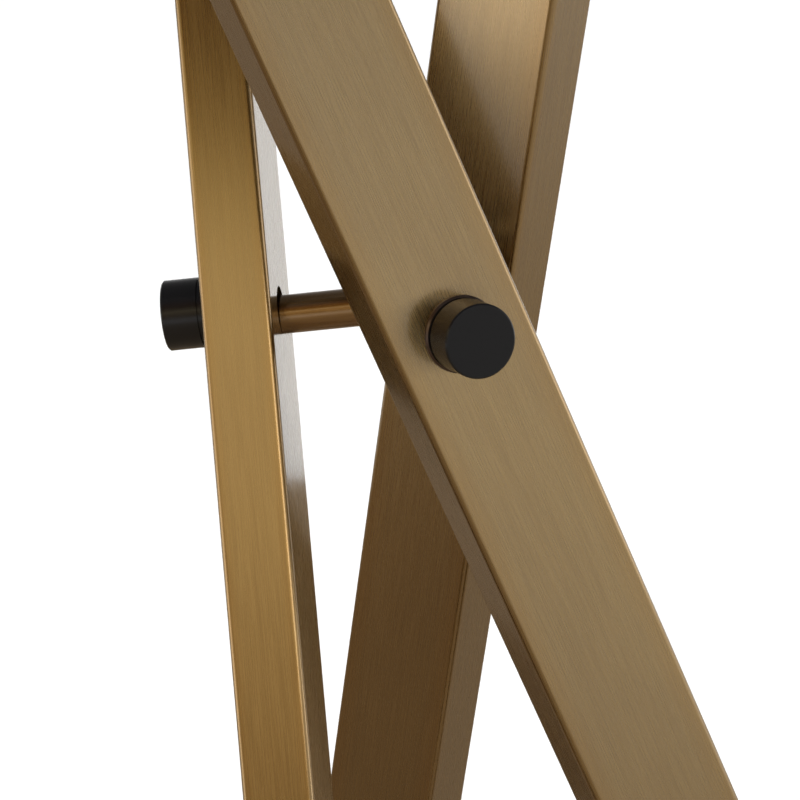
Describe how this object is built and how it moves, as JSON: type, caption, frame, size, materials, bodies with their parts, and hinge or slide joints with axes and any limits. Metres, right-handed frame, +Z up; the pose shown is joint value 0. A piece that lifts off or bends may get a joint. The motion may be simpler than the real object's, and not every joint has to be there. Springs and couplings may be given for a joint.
{
  "type": "cheval floor mirror",
  "caption": "Cheval floor mirror: flat brass tubes twisted into a tripod about a waist joint with black knobs, and a round mirror that tilts between the upper ends.",
  "frame": {"origin": "on the floor, at the middle of the plan of the whole object", "axes": "+Z up, the mirror faces -Y, and it tilts about X"},
  "size_m": [0.6094, 0.5598, 1.8626],
  "materials": {
    "satin_brass": "brushed along its length, satin lacquer",
    "black_metal": "satin black",
    "black_nylon": "moulded, matte",
    "white_bush": "moulded, smooth",
    "zinc_steel": "zinc plated",
    "grey_rubber": "moulded, matte",
    "black_rubber": "matte",
    "silvered_glass": "silvered float glass",
    "grey_felt": "pressed felt",
    "black_board": "painted fibreboard"
  },
  "bodies": {
    "stand": {"front_left_upright": "satin_brass", "foot_plug_front_left": "black_nylon", "foot_pad_front_left": "grey_rubber", "spreader_front_left": "satin_brass", "waist_block_front_left": "zinc_steel", "waist_knob_front_left": "black_metal", "front_right_upright": "satin_brass", "foot_plug_front_right": "black_nylon", "foot_pad_front_right": "grey_rubber", "spreader_front_right": "satin_brass", "waist_block_front_right": "zinc_steel", "waist_knob_front_right": "black_metal", "rear_upright": "satin_brass", "foot_plug_rear": "black_nylon", "foot_pad_rear": "grey_rubber", "spreader_rear": "satin_brass", "waist_block_rear": "zinc_steel", "waist_knob_rear": "black_metal", "rear_top_cap": "black_nylon", "waist_hub": "satin_brass", "waist_studs": "zinc_steel", "waist_collars": "black_metal", "pivot_head_left": "satin_brass", "pivot_bush_left": "white_bush", "friction_washer_left": "black_nylon", "pivot_head_right": "satin_brass", "pivot_bush_right": "white_bush", "friction_washer_right": "black_nylon", "head_screws": "black_metal"},
    "mirror": {"mirror_ring": "satin_brass", "mirror_gasket": "black_rubber", "mirror_glass": "silvered_glass", "mirror_felt": "grey_felt", "backing_board": "black_board", "back_clips": "satin_brass", "clip_screws": "zinc_steel", "pivot_boss_left": "satin_brass", "pivot_boss_right": "satin_brass", "pivot_rod_left": "zinc_steel", "pivot_rod_right": "zinc_steel"},
    "left_knob": {"pivot_collar_left": "black_metal", "pivot_knob_left": "black_metal"},
    "right_knob": {"pivot_collar_right": "black_metal", "pivot_knob_right": "black_metal"}
  },
  "joints": [
    {"name": "mirror_tilt", "type": "hinge", "parent": "stand", "child": "mirror", "pos_m": [0, -0.19915, 1.64], "axis": [-1, 0, 0], "continuous": true},
    {"name": "left_knob_turn", "type": "hinge", "parent": "mirror", "child": "left_knob", "pos_m": [-0.295, -0.19915, 1.64], "axis": [-1, 0, 0], "range_deg": [0, 180]},
    {"name": "right_knob_turn", "type": "hinge", "parent": "mirror", "child": "right_knob", "pos_m": [0.295, -0.19915, 1.64], "axis": [1, 0, 0], "range_deg": [0, 180]}
  ]
}
